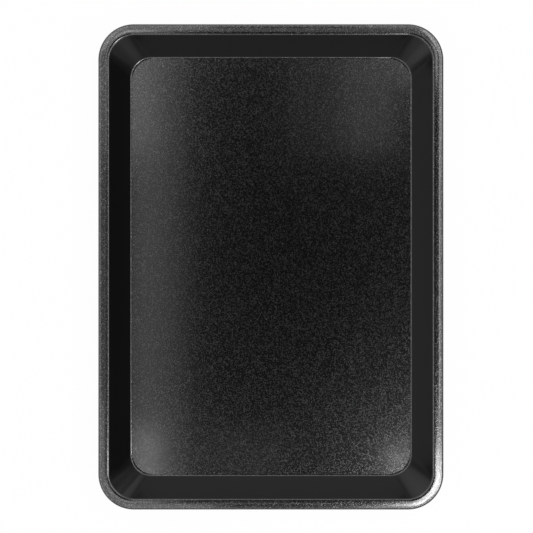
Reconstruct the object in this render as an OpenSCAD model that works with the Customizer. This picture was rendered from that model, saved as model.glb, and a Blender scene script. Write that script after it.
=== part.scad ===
// Baking pan: one pressed steel sheet with flared walls, its edge rolled round a stiffening wire.
// Millimetres. X runs across the pan, Y along it and Z up, from the middle of the base's underside.

/* [Pan] */
// Overall width, over the rolled rim
outer_w = 310; // [230:1:400]
// Overall length, over the rolled rim
outer_l = 436; // [330:1:560]
// Overall height, from the base to the top of the rim
height = 25.4; // [18:0.2:60]
// Radius of the rim's corners, seen from above
corner_r = 32; // [26:0.5:60]
// Radius of the flat floor's corners, seen from above
floor_corner_r = 20; // [10:0.5:30]

/* [Pressed sheet] */
// Thickness of the steel sheet
sheet_t = 0.6; // [0.4:0.05:1]
// Lean of the walls away from vertical, in degrees
wall_flare = 34; // [12:1:42]
// Inside radius of the bend between the floor and the walls
base_bend_r = 2.4; // [1.5:0.1:6]
// Inside radius of the bend between the walls and the rim
lip_bend_r = 2.4; // [1:0.1:5]

/* [Rolled rim] */
// Width of the crowned ledge between the wall's bend and the curl
ledge_w = 6.1; // [2:0.1:9]
// Slope of the ledge where it meets the wall's bend, in degrees
ledge_dip = 0.5; // [0:0.5:10]
// Slope of the ledge where it meets the curl, in degrees
ledge_fall = 11; // [2:1:20]
// How far the curl turns from level, in degrees
curl_turn = 285; // [200:1:295]
// Diameter of the wire inside the curl
wire_d = 3; // [2:0.1:5]
// Space between the wire and the curl
wire_gap = 0.1; // [0.08:0.01:0.3]
// Space between the two ends of the wire
wire_end_gap = 0.5; // [0.2:0.1:3]

/* [Hidden] */

// Width of the strip of floor that the wall's section carries; the floor's disc laps half of it
floor_lap = 4;
// Steps in each bend of the section, and round the wire
base_steps = 6;
lip_steps = 6;
ledge_steps = 3;
curl_side_steps = 5;
curl_tuck_steps = 12;
wire_facets = 32;

// Everything is placed on the middle of the sheet's thickness
half_t = sheet_t / 2;
wall_rise = 90 - wall_flare;
base_r = base_bend_r + half_t;
lip_r = lip_bend_r + half_t;
curl_r = wire_d / 2 + wire_gap + half_t;
ledge_r = ledge_w / (sin(ledge_dip) + sin(ledge_fall));

// Centre of each bend as [inset from the rim's outer edge, height], outwards and inwards from
// the ledge, whose crown is the pan's highest line
ledge_at = [half_t + curl_r + (ledge_r - curl_r) * sin(ledge_fall), height - half_t - ledge_r];
curl_at = ledge_at + (ledge_r - curl_r) * side(-ledge_fall);
lip_at = ledge_at + (ledge_r - lip_r) * side(ledge_dip);
base_rise = half_t + base_r;
wall_run = (lip_at[1] - base_rise + (lip_r + base_r) * cos(wall_rise)) / tan(wall_rise);
base_at = [lip_at[0] + (lip_r + base_r) * sin(wall_rise) + wall_run, base_rise];

// Steps in a quarter turn of the plan: fine enough that the curl's straight steps round a corner
// take up less than half of the space between it and the round wire
wire_turn_r = corner_r - curl_at[0];
plan_steps = ceil(45 / acos(1 - wire_gap / 2 / wire_turn_r));

// The floor's corners are rounder than a plain inset of the rim's would be, so the walls twist
// there: the extra radius eases in over the lip bend and then grows evenly down the wall
lip_run = lip_r * sin(wall_rise);
extra_rate = (floor_corner_r - corner_r + base_at[0]) / (base_at[0] - lip_at[0] - lip_run / 2);

// Unit vector to the food side of a sheet that climbs outwards at the given angle
function side(climb) = [sin(climb), cos(climb)];

// Points [inset, height, climb] of a bend between two climbs; hand is 1 where the sheet arches
// over its centre and -1 where it cups. A first of 1 leaves out the point that the last bend ends on
function bend(at, r, hand, from, to, steps, first = 1) = [
    for (i = [first:steps])
        let (climb = from + (to - from) * i / steps, p = at + hand * r * side(climb))
        [p[0], p[1], climb]
];

// The middle of the sheet, from the floor outwards and round the curl
sheet_line = concat(
    [[base_at[0] + floor_lap, half_t, 0]],
    bend(base_at, base_r, -1, 0, wall_rise, base_steps, 0),
    bend(lip_at, lip_r, 1, wall_rise, ledge_dip, lip_steps, 0),
    bend(ledge_at, ledge_r, 1, ledge_dip, -ledge_fall, ledge_steps),
    bend(curl_at, curl_r, 1, -ledge_fall, -90, curl_side_steps),
    bend(curl_at, curl_r, 1, -90, -curl_turn, curl_tuck_steps)
);

// One face of the sheet: 1 is the food side, -1 the underside
function face(which) = [
    for (p = sheet_line)
        let (offset = which * half_t * side(p[2]))
        [p[0] + offset[0], p[1] + offset[1]]
];

function reversed(list) = [for (i = [len(list) - 1:-1:0]) list[i]];

// The cut section of the sheet, as a closed outline
section = concat(face(1), reversed(face(-1)));

// Plan radius of the corners at an inset from the rim's outer edge
function plan_r(inset) =
    let (past = inset - lip_at[0])
    corner_r - inset + extra_rate * (
        past <= 0 ? 0 :
        past < lip_run ? pow(past, 2) / (2 * lip_run) :
        past - lip_run / 2
    );

// A rounded rectangle at an inset from the rim's outer edge, as points, anticlockwise
function plan(inset) = [
    for (quarter = [0:3], i = [0:plan_steps])
        let (
            r = plan_r(inset),
            x = outer_w / 2 - inset - r,
            y = outer_l / 2 - inset - r,
            angle = 90 * (quarter + i / plan_steps)
        )
        [
            (quarter == 0 || quarter == 3 ? x : -x) + r * cos(angle),
            (quarter < 2 ? y : -y) + r * sin(angle)
        ]
];

// Carries the section round the plan
module pressed_wall() {
    around = 4 * (plan_steps + 1);
    along = len(section);
    rings = [for (p = section) [for (q = plan(p[0])) [q[0], q[1], p[1]]]];
    points = [for (ring = rings, p = ring) p];
    faces = [
        for (i = [0:along - 1], j = [0:around - 1])
            let (
                here = i * around,
                next = (i + 1) % along * around,
                ahead = (j + 1) % around
            )
            each [
                [here + j, here + ahead, next + ahead],
                [here + j, next + ahead, next + j]
            ]
    ];
    polyhedron(points, faces, convexity = 6);
}

module floor_disc() {
    r = plan_r(base_at[0] + floor_lap / 2);
    w = outer_w - 2 * base_at[0] - floor_lap;
    l = outer_l - 2 * base_at[0] - floor_lap;
    linear_extrude(sheet_t) union() {
        square([w - 2 * r, l], center = true);
        square([w, l - 2 * r], center = true);
        for (x = [-1, 1], y = [-1, 1])
            translate([x * (w / 2 - r), y * (l / 2 - r)])
                circle(r, $fn = 4 * plan_steps);
    }
}

module pan_shell() {
    color([0.07, 0.07, 0.075]) union() {
        pressed_wall();
        floor_disc();
    }
}

// A straight length of wire from one point towards another in the plan
module wire_run(from, length, heading) {
    translate([from[0], from[1], curl_at[1]])
        rotate([0, 90, heading])
            cylinder(h = length, d = wire_d, $fn = wire_facets);
}

module rim_wire() {
    x = outer_w / 2 - corner_r;
    y = outer_l / 2 - corner_r;
    end_run = x - wire_end_gap / 2;
    color([0.62, 0.62, 0.63]) union() {
        for (quarter = [0:3])
            translate([quarter % 3 == 0 ? x : -x, quarter < 2 ? y : -y, curl_at[1]])
                rotate(90 * quarter)
                    rotate_extrude(angle = 90, $fn = 4 * plan_steps)
                        translate([wire_turn_r, 0])
                            circle(d = wire_d, $fn = wire_facets);
        for (s = [-1, 1]) wire_run([s * (x + wire_turn_r), -y], 2 * y, 90);
        wire_run([-x, -y - wire_turn_r], 2 * x, 0);
        // The ends meet in the middle of the far side
        wire_run([-x, y + wire_turn_r], end_run, 0);
        wire_run([x, y + wire_turn_r], end_run, 180);
    }
}

pan_shell();
rim_wire();
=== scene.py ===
"""Finishes a baking pan: its pressed shell in non-stick coat, its rim wire, and a studio.

Lengths are metres and angles radians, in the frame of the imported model.
"""
import math

import bpy
import numpy as np
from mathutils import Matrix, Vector


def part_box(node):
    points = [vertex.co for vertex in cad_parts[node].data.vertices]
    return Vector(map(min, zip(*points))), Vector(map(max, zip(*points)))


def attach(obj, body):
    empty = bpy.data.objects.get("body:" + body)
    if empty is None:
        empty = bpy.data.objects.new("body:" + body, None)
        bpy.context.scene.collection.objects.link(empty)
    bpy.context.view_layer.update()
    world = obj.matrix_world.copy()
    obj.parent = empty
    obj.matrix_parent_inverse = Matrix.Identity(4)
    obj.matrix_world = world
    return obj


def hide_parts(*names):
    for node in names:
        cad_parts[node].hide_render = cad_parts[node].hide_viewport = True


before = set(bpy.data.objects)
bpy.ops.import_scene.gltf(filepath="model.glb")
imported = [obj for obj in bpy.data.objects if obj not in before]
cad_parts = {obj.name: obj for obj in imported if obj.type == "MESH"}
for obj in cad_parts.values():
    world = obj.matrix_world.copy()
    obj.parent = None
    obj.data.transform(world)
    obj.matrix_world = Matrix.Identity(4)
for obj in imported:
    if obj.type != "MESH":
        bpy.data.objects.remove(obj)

bl_info = {
    "name": "Baking pan",
    "version": (1, 0, 0),
    "blender": (4, 5, 0),
    "location": "3D View > Sidebar > Baking pan",
    "description": "Builds a non-stick baking pan with a rolled rim and lights it",
    "category": "Object",
}

BODY = "root"
MM = 0.001
# The point attribute that holds how steep the shell's sheet is
STEEP = "steep"
SHELL_LOW, SHELL_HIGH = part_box("pan_shell")
SHELL_SIZE = SHELL_HIGH - SHELL_LOW
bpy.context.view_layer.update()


# Settings that a user would change

class PanSizes(bpy.types.PropertyGroup):
    """Sizes of the pressed sheet and its rolled rim."""

    width: bpy.props.FloatProperty(
        name="Width", description="Overall width, over the rolled rim",
        default=SHELL_SIZE.x, min=0.1, unit="LENGTH")
    length: bpy.props.FloatProperty(
        name="Length", description="Overall length, over the rolled rim",
        default=SHELL_SIZE.y, min=0.1, unit="LENGTH")
    height: bpy.props.FloatProperty(
        name="Height", description="From the base to the crown of the rim",
        default=SHELL_SIZE.z, min=0.01, unit="LENGTH")
    corner: bpy.props.FloatProperty(
        name="Rim corner", description="Radius of the rim's corners, from above",
        default=32 * MM, min=0.01, unit="LENGTH")
    floor_corner: bpy.props.FloatProperty(
        name="Floor corner", description="Radius of the floor's corners, from above",
        default=20 * MM, min=0.005, unit="LENGTH")
    sheet: bpy.props.FloatProperty(
        name="Sheet", description="Thickness of the steel sheet",
        default=0.6 * MM, min=0.0002, unit="LENGTH", precision=5)
    flare: bpy.props.FloatProperty(
        name="Flare", description="Lean of the walls away from vertical",
        default=math.radians(34), subtype="ANGLE")
    base_bend: bpy.props.FloatProperty(
        name="Base bend", description="Inside radius between floor and walls",
        default=2.4 * MM, min=0.001, unit="LENGTH")
    lip_bend: bpy.props.FloatProperty(
        name="Lip bend", description="Inside radius between walls and ledge",
        default=2.4 * MM, min=0.0005, unit="LENGTH")
    ledge: bpy.props.FloatProperty(
        name="Ledge", description="Width of the crowned ledge",
        default=6.1 * MM, min=0.001, unit="LENGTH")
    ledge_dip: bpy.props.FloatProperty(
        name="Ledge dip", description="Slope of the ledge at the wall's bend",
        default=math.radians(0.5), subtype="ANGLE")
    ledge_fall: bpy.props.FloatProperty(
        name="Ledge fall", description="Slope of the ledge at the curl",
        default=math.radians(11), subtype="ANGLE")
    curl_turn: bpy.props.FloatProperty(
        name="Curl turn", description="How far the curl turns from level",
        default=math.radians(285), subtype="ANGLE")
    wire: bpy.props.FloatProperty(
        name="Wire", description="Diameter of the wire in the curl",
        default=3 * MM, min=0.001, unit="LENGTH")
    wire_gap: bpy.props.FloatProperty(
        name="Wire gap", description="Space between wire and curl",
        default=0.1 * MM, min=0.00005, unit="LENGTH", precision=5)


class CoatLook(bpy.types.PropertyGroup):
    """The non-stick coat: metal flakes in a black binder, under a clear top coat."""

    binder: bpy.props.FloatVectorProperty(
        name="Binder", description="Colour of the black binder",
        default=(0.0015, 0.0015, 0.0016), subtype="COLOR", min=0, max=1)
    flake: bpy.props.FloatVectorProperty(
        name="Flake", description="Colour of the metal flakes",
        default=(0.21, 0.21, 0.217), subtype="COLOR", min=0, max=1)
    flake_size: bpy.props.FloatProperty(
        name="Flake size", description="Width of one flake",
        default=0.42 * MM, min=0.0001, unit="LENGTH", precision=5)
    flake_share: bpy.props.FloatProperty(
        name="Flake share", description="Share of the coat that is flakes",
        default=0.12, min=0, max=1, subtype="FACTOR")
    # Painted shade: on the steep walls the speckled coat turns into this even tone, so the walls
    # look darker and smoother than the floor
    wall_shade_tone: bpy.props.FloatVectorProperty(
        name="Wall tone", description="Even colour that the flakes blend into on the drawn walls",
        default=(0.06, 0.06, 0.062), subtype="COLOR", min=0, max=1)
    wall_steep: bpy.props.FloatVectorProperty(
        name="Wall steepness", description="Steepness at which the blend begins and ends",
        default=(0.35, 0.75), size=2, min=0, max=1)
    # Painted shade: the walls keep only this share of the clear top coat, which darkens their
    # reflection
    wall_shade_top: bpy.props.FloatProperty(
        name="Wall top coat", description="Share of the clear top coat that the walls keep",
        default=0.25, min=0, max=1, subtype="FACTOR")
    roughness: bpy.props.FloatProperty(
        name="Roughness", description="Roughness of binder and flakes",
        default=0.28, min=0, max=1, subtype="FACTOR")
    shine: bpy.props.FloatProperty(
        name="Binder shine", description="Specular level of the binder",
        default=0.2, min=0, max=1, subtype="FACTOR")
    top_roughness: bpy.props.FloatProperty(
        name="Top coat roughness", description="Roughness of the clear top coat",
        default=0.12, min=0, max=1, subtype="FACTOR")
    top_ior: bpy.props.FloatProperty(
        name="Top coat refraction", description="Refractive index of the clear top coat",
        default=1.8, min=1, max=3)
    grain: bpy.props.FloatProperty(
        name="Grain", description="Width of the sprayed coat's orange-peel grain",
        default=0.9 * MM, min=0.0002, unit="LENGTH", precision=5)
    grain_depth: bpy.props.FloatProperty(
        name="Grain depth", description="Height of the grain",
        default=0.006 * MM, min=0, unit="LENGTH", precision=6)


class SteelLook(bpy.types.PropertyGroup):
    """The drawn steel of the rim wire."""

    colour: bpy.props.FloatVectorProperty(
        name="Colour", description="Colour of the wire",
        default=(0.55, 0.55, 0.56), subtype="COLOR", min=0, max=1)
    roughness: bpy.props.FloatProperty(
        name="Roughness", description="Roughness of the wire",
        default=0.32, min=0, max=1, subtype="FACTOR")
    line_width: bpy.props.FloatProperty(
        name="Line width", description="Width of the lines that drawing leaves",
        default=0.4 * MM, min=0.0001, unit="LENGTH", precision=5)
    line_contrast: bpy.props.FloatProperty(
        name="Line contrast", description="How far the roughness varies between the lines",
        default=0.15, min=0, max=1, subtype="FACTOR")


class StudioSet(bpy.types.PropertyGroup):
    """Floor, lamps and camera."""

    floor_colour: bpy.props.FloatVectorProperty(
        name="Floor", description="Colour of the floor",
        default=(0.8, 0.8, 0.8), subtype="COLOR", min=0, max=1)
    floor_white: bpy.props.FloatProperty(
        name="Paper white", description="Share of the floor that is seen as plain white",
        default=0.97, min=0, max=1, subtype="FACTOR")
    lamp_level: bpy.props.FloatProperty(
        name="Lamps", description="Level of all lamps together",
        default=1, min=0)
    camera_height: bpy.props.FloatProperty(
        name="Camera height", description="Height of the camera over the rim",
        default=1.03, min=0.3, unit="LENGTH")
    camera_offset: bpy.props.FloatVectorProperty(
        name="Camera offset", description="Place of the camera across and along the pan",
        default=(8 * MM, 19 * MM), size=2, unit="LENGTH")
    view_width: bpy.props.FloatProperty(
        name="View width", description="Width of the picture at the rim",
        default=477.6 * MM, min=0.1, unit="LENGTH")
    view_centre: bpy.props.FloatVectorProperty(
        name="View centre", description="Middle of the picture across and along the pan",
        default=(-3.9 * MM, 0.4 * MM), size=2, unit="LENGTH")


# Shader maths

class Value:
    """A number's socket. Sums, differences and products of sockets and numbers add Math nodes."""

    def __init__(self, shader, socket):
        self.shader = shader
        self.socket = socket

    def _with(self, operation, first, second):
        return self.shader.add("ShaderNodeMath", {"operation": operation}, {0: first, 1: second})

    def __add__(self, other):
        return self._with("ADD", self, other)

    __radd__ = __add__

    def __mul__(self, other):
        return self._with("MULTIPLY", self, other)

    __rmul__ = __mul__

    def __sub__(self, other):
        return self._with("SUBTRACT", self, other)

    def __rsub__(self, other):
        return self._with("SUBTRACT", other, self)

    def __lt__(self, other):
        return self._with("LESS_THAN", self, other)


class Shader:
    """A node tree that is filled from Python expressions."""

    def __init__(self, owner):
        owner.use_nodes = True
        self.tree = owner.node_tree
        self.tree.nodes.clear()

    def add(self, kind, settings=None, sockets=None, output=0):
        """Adds a node of a kind, sets its settings, then its sockets, and returns one output."""
        node = self.tree.nodes.new(kind)
        for name, value in (settings or {}).items():
            setattr(node, name, value)
        for name, value in (sockets or {}).items():
            if isinstance(value, Value):
                self.tree.links.new(value.socket, node.inputs[name])
            else:
                node.inputs[name].default_value = value
        outputs = node.outputs
        return Value(self, outputs[output]) if len(outputs) else None


def material(name):
    """A new material and the shader that fills it."""
    made = bpy.data.materials.new(name)
    return made, Shader(made)


def coat_material(look):
    """Sprayed non-stick coat: bright flakes in a black binder, orange-peel grain, a clear top.

    Where the sheet is steep, on the drawn walls, the flakes blend into one even tone, and only
    part of the clear top coat is left: painted shade, so that the walls look darker and smoother
    than the floor under the same light.
    """
    made, shader = material("nonstick_coat")
    place = shader.add("ShaderNodeTexCoord", output="Object")
    cell = shader.add(
        "ShaderNodeTexVoronoi", {"voronoi_dimensions": "3D", "feature": "F1"},
        {"Vector": place, "Scale": 1 / look.flake_size, "Randomness": 1}, output="Color")
    chance = shader.add("ShaderNodeSeparateColor", None, {"Color": cell}, output="Red")
    steep = shader.add("ShaderNodeAttribute", {"attribute_name": STEEP}, output="Fac")
    # Mask of the steep walls, where painted shade takes over: an even tone, full metal and a
    # thinner top coat
    wall = shader.add(
        "ShaderNodeMapRange", {"interpolation_type": "SMOOTHSTEP"},
        {"Value": steep, "From Min": look.wall_steep[0], "From Max": look.wall_steep[1]})
    flakes = chance < look.flake_share
    speckled = shader.add(
        "ShaderNodeMix", {"data_type": "RGBA"},
        {0: flakes, 6: (*look.binder, 1), 7: (*look.flake, 1)}, output=2)
    colour = shader.add(
        "ShaderNodeMix", {"data_type": "RGBA"},
        {0: wall, 6: speckled, 7: (*look.wall_shade_tone, 1)}, output=2)
    grain = shader.add(
        "ShaderNodeTexNoise", {"noise_dimensions": "3D"},
        {"Vector": place, "Scale": 1 / look.grain, "Detail": 2, "Roughness": 0.5})
    peel = shader.add(
        "ShaderNodeBump", None, {"Strength": 1, "Distance": look.grain_depth, "Height": grain})
    surface = shader.add(
        "ShaderNodeBsdfPrincipled", None,
        {"Base Color": colour, "Metallic": flakes + (1 - flakes) * wall,
         "Roughness": look.roughness, "Specular IOR Level": look.shine, "Normal": peel,
         "Coat Weight": 1 - (1 - look.wall_shade_top) * wall, "Coat Roughness": look.top_roughness,
         "Coat IOR": look.top_ior})
    shader.add("ShaderNodeOutputMaterial", None, {"Surface": surface})
    return made


def wire_material(look):
    """Drawn steel: fine lines that are rougher and smoother than the rest."""
    made, shader = material("drawn_rim_wire")
    place = shader.add("ShaderNodeTexCoord", output="Object")
    lines = shader.add(
        "ShaderNodeTexNoise", {"noise_dimensions": "3D"},
        {"Vector": place, "Scale": 1 / look.line_width, "Detail": 3, "Roughness": 0.6})
    surface = shader.add(
        "ShaderNodeBsdfPrincipled", None,
        {"Base Color": (*look.colour, 1), "Metallic": 1,
         "Roughness": look.roughness + look.line_contrast * (lines - 0.5)})
    shader.add("ShaderNodeOutputMaterial", None, {"Surface": surface})
    return made


# The pressed sheet

# Steps in each bend of the section, round the sheet's cut edge, and in a quarter turn of the plan
BASE_STEPS = 12
LIP_STEPS = 16
LEDGE_STEPS = 8
CURL_STEPS = 48
EDGE_STEPS = 8
PLAN_STEPS = 48


def side(climb):
    """Unit vectors [inset, height] to the food side of a sheet that climbs outwards at angles."""
    return np.stack([np.sin(climb), np.cos(climb)], axis=-1)


def bend(centre, radius, hand, climbs):
    """Points of an arc: the centre plus or minus the radius times the unit side vector."""
    return centre + hand * radius * side(climbs)


class Section:
    """The sheet's cut section and the radius of its plan's corners, worked out from PanSizes."""

    def __init__(self, sizes):
        half = sizes.sheet / 2
        rise = math.pi / 2 - sizes.flare
        base_r = sizes.base_bend + half
        lip_r = sizes.lip_bend + half
        curl_r = sizes.wire / 2 + sizes.wire_gap + half
        ledge_r = sizes.ledge / (math.sin(sizes.ledge_dip) + math.sin(sizes.ledge_fall))
        ledge_at = np.array([
            half + curl_r + (ledge_r - curl_r) * math.sin(sizes.ledge_fall),
            sizes.height - half - ledge_r])
        curl_at = ledge_at + (ledge_r - curl_r) * side(-sizes.ledge_fall)
        lip_at = ledge_at + (ledge_r - lip_r) * side(sizes.ledge_dip)
        base_z = half + base_r
        drop = lip_at[1] - base_z + (lip_r + base_r) * math.cos(rise)
        run = drop / math.tan(rise) + (lip_r + base_r) * math.sin(rise)
        base_at = np.array([lip_at[0] + run, base_z])

        base_climbs = np.linspace(0, rise, BASE_STEPS + 1)
        lip_climbs = np.linspace(rise, sizes.ledge_dip, LIP_STEPS + 1)
        ledge_climbs = np.linspace(sizes.ledge_dip, -sizes.ledge_fall, LEDGE_STEPS + 1)[1:]
        curl_climbs = np.linspace(-sizes.ledge_fall, -sizes.curl_turn, CURL_STEPS + 1)[1:]
        climbs = np.concatenate([base_climbs, lip_climbs, ledge_climbs, curl_climbs])
        middle = np.concatenate([
            bend(base_at, base_r, -1, base_climbs),
            bend(lip_at, lip_r, 1, lip_climbs),
            bend(ledge_at, ledge_r, 1, ledge_climbs),
            bend(curl_at, curl_r, 1, curl_climbs)])
        edge_climbs = climbs[-1] - np.linspace(0, math.pi, EDGE_STEPS + 1)[1:-1]
        edge = np.repeat(middle[-1:], len(edge_climbs), axis=0)
        self.facing = np.concatenate([climbs, edge_climbs, climbs[::-1] - math.pi])
        middle = np.concatenate([middle, edge, middle[::-1]])
        self.points = middle + half * side(self.facing)

        self.sizes = sizes
        self.lip_inset = lip_at[0]
        self.lip_run = lip_r * math.sin(rise)
        base_run = base_at[0] - lip_at[0]
        extra = sizes.floor_corner - sizes.corner + base_at[0]
        self.extra_rate = extra / (base_run - self.lip_run / 2)

    def corner(self, inset):
        """Radius of the plan's corners at an inset, and how fast it outgrows a plain inset's.

        The extra radius eases in over the lip bend, as the square of the way through it, and
        then grows evenly down the wall.
        """
        past = np.clip(inset - self.lip_inset, 0, None)
        eased = np.where(past < self.lip_run, past**2 / (2 * self.lip_run),
                         past - self.lip_run / 2)
        rate = self.extra_rate * np.clip(past / self.lip_run, 0, 1)
        return self.sizes.corner - inset + self.extra_rate * eased, rate


def carried_section(section):
    """Points and outward normals of the section carried round the plan.

    A point is its corner's centre plus the corner's radius along (cos a, sin a), at the section's
    height. Its normal leans along the same direction, less steeply where the corner's radius
    outgrows a plain inset's: by 1 + rate (cos a + sin a - 1) in the corner's own quarter.
    """
    inset, height = section.points.T[:, :, None]
    lean, up = side(section.facing).T[:, :, None]
    radius, rate = section.corner(inset)
    quarter = np.repeat(np.arange(4), PLAN_STEPS + 1)
    step = np.tile(np.linspace(0, math.pi / 2, PLAN_STEPS + 1), 4)
    angle = quarter * math.pi / 2 + step
    sign_x = np.where((quarter == 0) | (quarter == 3), 1, -1)
    sign_y = np.where(quarter < 2, 1, -1)
    x = sign_x * (section.sizes.width / 2 - inset - radius) + radius * np.cos(angle)
    y = sign_y * (section.sizes.length / 2 - inset - radius) + radius * np.sin(angle)
    points = np.stack([x, y, np.broadcast_to(height, x.shape)], axis=-1)

    spread = 1 + rate * (np.cos(step) + np.sin(step) - 1)
    outward = -lean / spread
    normals = np.stack([
        outward * np.cos(angle), outward * np.sin(angle),
        np.broadcast_to(up, outward.shape)], axis=-1)
    normals /= np.linalg.norm(normals, axis=-1, keepdims=True)
    return points, normals


def grid_faces(rows, around):
    """Four-sided faces between the rows of a grid that closes on itself the other way."""
    row = np.arange(rows - 1)[:, None] * around
    here = np.arange(around)[None, :]
    ahead = (here + 1) % around
    corners = [row + here, row + around + here, row + around + ahead, row + ahead]
    return np.stack(corners, axis=-1).reshape(-1, 4)


def shell_mesh(name, section):
    """The pressed sheet: its carried section, closed by the floor's two flat faces.

    How steep the sheet is, from 0 where level to 1 where upright, is kept for its coat.
    """
    points, normals = carried_section(section)
    rows, around = points.shape[:2]
    quads = grid_faces(rows, around)
    floor_face = np.arange(around)
    base_face = ((rows - 1) * around + floor_face)[::-1]
    faces = quads.tolist() + [floor_face.tolist(), base_face.tolist()]
    mesh = bpy.data.meshes.new(name)
    mesh.from_pydata(points.reshape(-1, 3), [], faces)
    mesh.polygons.foreach_set("use_smooth", np.ones(len(mesh.polygons), bool))
    mesh.normals_split_custom_set_from_vertices(normals.reshape(-1, 3))
    steep = mesh.attributes.new(STEEP, "FLOAT", "POINT")
    steep.data.foreach_set("value", np.repeat(np.abs(np.sin(section.facing)), around))
    mesh.update()
    return mesh


# The studio

# Half the width of the paper floor, and how far it lies under the pan's base
PAPER_HALF = 6
PAPER_DROP = 0.1 * MM
# Width of the camera's sensor, in millimetres, as Blender takes it
SENSOR_WIDTH = 36
# Height of the level grid that softboxes hang in, and how far the sides of the room are
GRID_HEIGHT = 1.2
ROOM_HALF = 2.6
LEFT, RIGHT, NEAR, FAR = (-1, 0), (1, 0), (0, -1), (0, 1)
# Each overhead softbox: its span across and along the pan, and its level. All levels were solved
# together, for how bright the floor, the walls, the bends and the rim should look from above
OVERHEAD = (
    ((-2.6, -1.28), (-2.6, 2.6), 0.60),
    ((-1.28, 1.32), (-2.6, -1.3), 0.60),
    ((-1.28, -0.83), (-1.3, 1.3), 2.00),
    ((-1.28, 1.32), (1.3, 2.6), 0.60),
    ((-0.83, -0.48), (-1.3, -0.3), 1.02),
    ((-0.83, -0.48), (-0.3, 0.22), 0.30),
    ((-0.83, -0.48), (0.22, 0.5), 0.69),
    ((-0.83, -0.48), (0.5, 1.3), 1.69),
    ((-0.48, 0.17), (-1.3, -1.1), 2.00),
    ((-0.48, -0.13), (-1.1, -0.66), 1.27),
    ((-0.48, 0.13), (-0.66, -0.58), 0.65),
    ((-0.48, -0.23), (-0.58, -0.46), 1.76),
    ((-0.48, -0.4), (-0.46, 0.6), 0.52),
    ((-0.48, -0.13), (0.6, 0.95), 1.05),
    ((-0.48, 0.47), (0.95, 1.3), 2.00),
    ((-0.4, -0.28), (-0.46, 0.2), 0.15),
    ((-0.4, -0.23), (0.2, 0.46), 0.99),
    ((-0.4, -0.23), (0.46, 0.6), 2.66),
    ((-0.28, -0.23), (-0.46, -0.34), 2.09),
    ((-0.28, -0.23), (-0.34, 0.2), 0.64),
    ((-0.23, -0.18), (-0.58, 0.46), 0.35),
    ((-0.23, 0.24), (0.46, 0.6), 0.42),
    ((-0.14, 0.02), (-0.58, -0.34), 0.13),
    ((-0.13, 0.17), (-1.1, -0.85), 0.25),
    ((-0.13, 0.24), (-0.85, -0.66), 0.04),
    ((-0.13, 0.47), (0.6, 0.75), 0.50),
    ((-0.13, 0.17), (0.75, 0.95), 0.09),
    ((0.02, 0.13), (0.2, 0.46), 0.11),
    ((0.13, 0.24), (0.2, 0.46), 0.35),
    ((0.17, 0.47), (-1.3, -0.85), 2.00),
    ((0.17, 0.47), (0.75, 0.95), 0.76),
    ((0.22, 0.26), (-0.42, -0.38), 2.96),
    ((0.24, 0.38), (-0.85, -0.66), 7.45),
    ((0.24, 0.35), (0.34, 0.6), 0.70),
    ((0.26, 0.47), (-0.66, -0.58), 6.17),
    ((0.26, 0.3), (-0.58, -0.46), 2.33),
    ((0.3, 0.47), (-0.58, -0.52), 7.08),
    ((0.3, 0.47), (-0.52, -0.46), 13.40),
    ((0.35, 0.47), (-0.46, -0.38), 7.69),
    ((0.35, 0.47), (-0.1, 0.2), 0.15),
    ((0.35, 0.47), (0.34, 0.46), 2.69),
    ((0.35, 0.47), (0.46, 0.6), 0.07),
    ((0.38, 0.47), (-0.85, -0.66), 15.54),
    ((0.47, 1.32), (-1.3, -0.75), 2.00),
    ((0.47, 0.59), (-0.75, -0.4), 11.62),
    ((0.47, 0.71), (-0.4, -0.3), 1.75),
    ((0.47, 0.59), (0.5, 0.85), 3.68),
    ((0.47, 1.32), (0.85, 1.3), 2.00),
    ((0.59, 0.84), (-0.75, -0.4), 7.69),
    ((0.59, 0.71), (-0.3, 0.22), 3.09),
    ((0.59, 0.84), (0.22, 0.85), 2.00),
    ((0.71, 0.84), (-0.4, 0.22), 0.41),
    ((0.84, 1.32), (-0.75, 0.85), 2.00),
    ((1.32, 2.6), (-2.6, 2.6), 0.60),
)
# Each upright softbox: its side, its span along it, its lowest and highest point, and its level
UPRIGHT = (
    (LEFT, (-2.6, 2.6), (0.05, 1.2), 0.51),
    (RIGHT, (-2.6, -1.5), (0.05, 1.2), 0.22),
    (RIGHT, (-1.5, 2.6), (0.05, 0.35), 0.37),
    (RIGHT, (1.5, 2.6), (0.65, 1.2), 0.60),
    (NEAR, (-2.6, 2.6), (0.05, 1.2), 0.34),
    (FAR, (-2.6, 1.5), (0.05, 0.65), 0.51),
    (FAR, (-2.6, 2.6), (0.65, 1.2), 0.60),
    (FAR, (1.5, 2.6), (0.05, 0.65), 0.02),
)


def softbox(name, centre, size, faces, level):
    """A flat lamp that looks as bright as its level: its power is level times pi times area."""
    data = bpy.data.lights.new(name, "AREA")
    data.shape = "RECTANGLE"
    data.size, data.size_y = size
    data.energy = level * math.pi * size[0] * size[1]
    lamp = bpy.data.objects.new(name, data)
    lamp.location = centre
    lamp.rotation_euler = Vector(faces).to_track_quat("-Z", "Y").to_euler()
    lamp.visible_camera = False
    bpy.context.scene.collection.objects.link(lamp)


def overhead(name, x_span, y_span, level):
    """A softbox that hangs level over a rectangle of the floor, facing down."""
    centre = (sum(x_span) / 2, sum(y_span) / 2, GRID_HEIGHT)
    softbox(name, centre, (x_span[1] - x_span[0], y_span[1] - y_span[0]), (0, 0, -1), level)


def upright(name, side_of_room, span, z_span, level):
    """A softbox that stands upright along one side of the room, facing in."""
    across, along = side_of_room
    middle = sum(span) / 2
    centre = (across * ROOM_HALF + abs(along) * middle, along * ROOM_HALF + abs(across) * middle,
              sum(z_span) / 2)
    softbox(name, centre, (span[1] - span[0], z_span[1] - z_span[0]), (-across, -along, 0), level)


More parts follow.
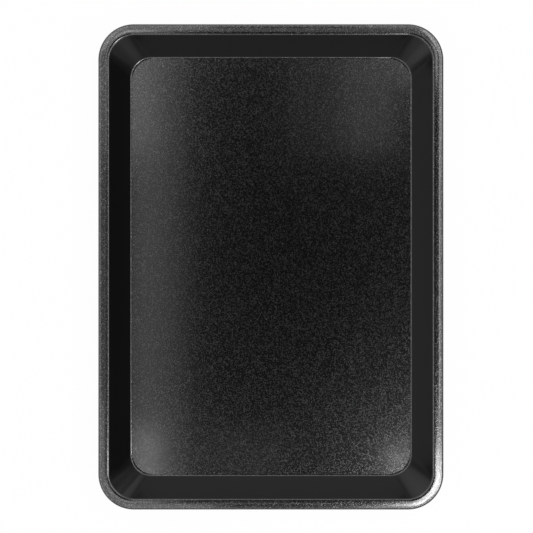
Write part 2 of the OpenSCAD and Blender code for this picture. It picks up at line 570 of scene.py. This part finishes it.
def paper_mesh(name):
    """One level square face, its corners at plus and minus half its width, facing up."""
    corners = PAPER_HALF * np.array([[-1, -1], [1, -1], [1, 1], [-1, 1]], float)
    mesh = bpy.data.meshes.new(name)
    mesh.from_pydata(np.column_stack([corners, np.full(4, -PAPER_DROP)]), [], [[0, 1, 2, 3]])
    return mesh


def floor_material(studio):
    """White paper: part plain white wherever it is looked at, the rest lit, so shadows show."""
    made, shader = material("paper")
    seen, mirrored, through = (
        shader.add("ShaderNodeLightPath", output=ray)
        for ray in ("Is Camera Ray", "Is Glossy Ray", "Is Transmission Ray"))
    lit = shader.add("ShaderNodeBsdfDiffuse", None, {"Color": (*studio.floor_colour, 1)})
    white = shader.add("ShaderNodeEmission", None, {"Color": (1, 1, 1, 1), "Strength": 1})
    mixed = shader.add(
        "ShaderNodeMixShader", None,
        {0: (seen + mirrored + through) * studio.floor_white, 1: lit, 2: white})
    shader.add("ShaderNodeOutputMaterial", None, {"Surface": mixed})
    return made


def camera_above(studio):
    """A camera that looks straight down, framed by its lens shift around the view's centre."""
    data = bpy.data.cameras.new("view_from_above")
    data.sensor_width = SENSOR_WIDTH
    data.lens = SENSOR_WIDTH * studio.camera_height / studio.view_width
    data.shift_x = (studio.view_centre[0] - studio.camera_offset[0]) / studio.view_width
    data.shift_y = (studio.view_centre[1] - studio.camera_offset[1]) / studio.view_width
    camera = bpy.data.objects.new("view_from_above", data)
    camera.location = (*studio.camera_offset, SHELL_HIGH.z + studio.camera_height)
    return camera


def studio_world():
    """Plain white where the camera looks past the floor, and dark to the pan."""
    world = bpy.data.worlds.new("studio")
    shader = Shader(world)
    camera = shader.add("ShaderNodeLightPath", output="Is Camera Ray")
    white = shader.add("ShaderNodeBackground", None, {"Color": (1, 1, 1, 1), "Strength": camera})
    shader.add("ShaderNodeOutputWorld", None, {"Surface": white})
    return world


# Operators

class PAN_OT_press_shell(bpy.types.Operator):
    """Press the pan's sheet, roll its rim and coat it."""

    bl_idname = "pan.press_shell"
    bl_label = "Press the shell"

    def execute(self, context):
        section = Section(context.scene.pan_sizes)
        mesh = shell_mesh("coated_shell", section)
        mesh.materials.append(coat_material(context.scene.pan_coat))
        piece = bpy.data.objects.new("coated_shell", mesh)
        context.scene.collection.objects.link(piece)
        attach(piece, BODY)
        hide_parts("pan_shell")
        return {"FINISHED"}


class PAN_OT_finish_wire(bpy.types.Operator):
    """Give the wire inside the rolled rim its drawn steel."""

    bl_idname = "pan.finish_wire"
    bl_label = "Finish the rim wire"

    def execute(self, context):
        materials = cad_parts["rim_wire"].data.materials
        materials.clear()
        materials.append(wire_material(context.scene.pan_steel))
        return {"FINISHED"}


class PAN_OT_set_studio(bpy.types.Operator):
    """Set the paper floor, the lamps, the world and the camera."""

    bl_idname = "pan.set_studio"
    bl_label = "Set the studio"

    def execute(self, context):
        scene = context.scene
        studio = scene.pan_studio
        mesh = paper_mesh("paper_floor")
        mesh.materials.append(floor_material(studio))
        floor = bpy.data.objects.new("paper_floor", mesh)
        scene.collection.objects.link(floor)
        for number, (x_span, y_span, level) in enumerate(OVERHEAD, 1):
            overhead(f"overhead_{number:02}", x_span, y_span, level * studio.lamp_level)
        for number, (room_side, span, z_span, level) in enumerate(UPRIGHT, 1):
            upright(f"upright_{number:02}", room_side, span, z_span, level * studio.lamp_level)
        scene.world = studio_world()
        scene.camera = camera_above(studio)
        scene.collection.objects.link(scene.camera)
        scene.view_settings.view_transform = "Standard"
        return {"FINISHED"}


# Each group of settings: the scene property that holds it, and the operator that reads it
GROUPS = {
    PanSizes: "pan_sizes",
    CoatLook: "pan_coat",
    SteelLook: "pan_steel",
    StudioSet: "pan_studio",
}
STEPS = (
    (PanSizes, PAN_OT_press_shell),
    (CoatLook, PAN_OT_press_shell),
    (SteelLook, PAN_OT_finish_wire),
    (StudioSet, PAN_OT_set_studio),
)


class PAN_PT_sidebar(bpy.types.Panel):
    """Lists the pan's sizes, looks and operators."""

    bl_idname = "PAN_PT_sidebar"
    bl_label = "Baking pan"
    bl_space_type = "VIEW_3D"
    bl_region_type = "UI"
    bl_category = "Baking pan"

    def draw(self, context):
        for group, operator in STEPS:
            box = self.layout.box()
            for setting in group.__annotations__:
                box.prop(getattr(context.scene, GROUPS[group]), setting)
            box.operator(operator.bl_idname)


CLASSES = (*GROUPS, PAN_OT_press_shell, PAN_OT_finish_wire, PAN_OT_set_studio, PAN_PT_sidebar)


def register():
    for made in CLASSES:
        bpy.utils.register_class(made)
    for group, name in GROUPS.items():
        setattr(bpy.types.Scene, name, bpy.props.PointerProperty(type=group))


def unregister():
    for name in GROUPS.values():
        delattr(bpy.types.Scene, name)
    for made in reversed(CLASSES):
        bpy.utils.unregister_class(made)


def main():
    register()
    bpy.ops.pan.press_shell()
    bpy.ops.pan.finish_wire()
    bpy.ops.pan.set_studio()


if __name__ == "__main__":
    main()
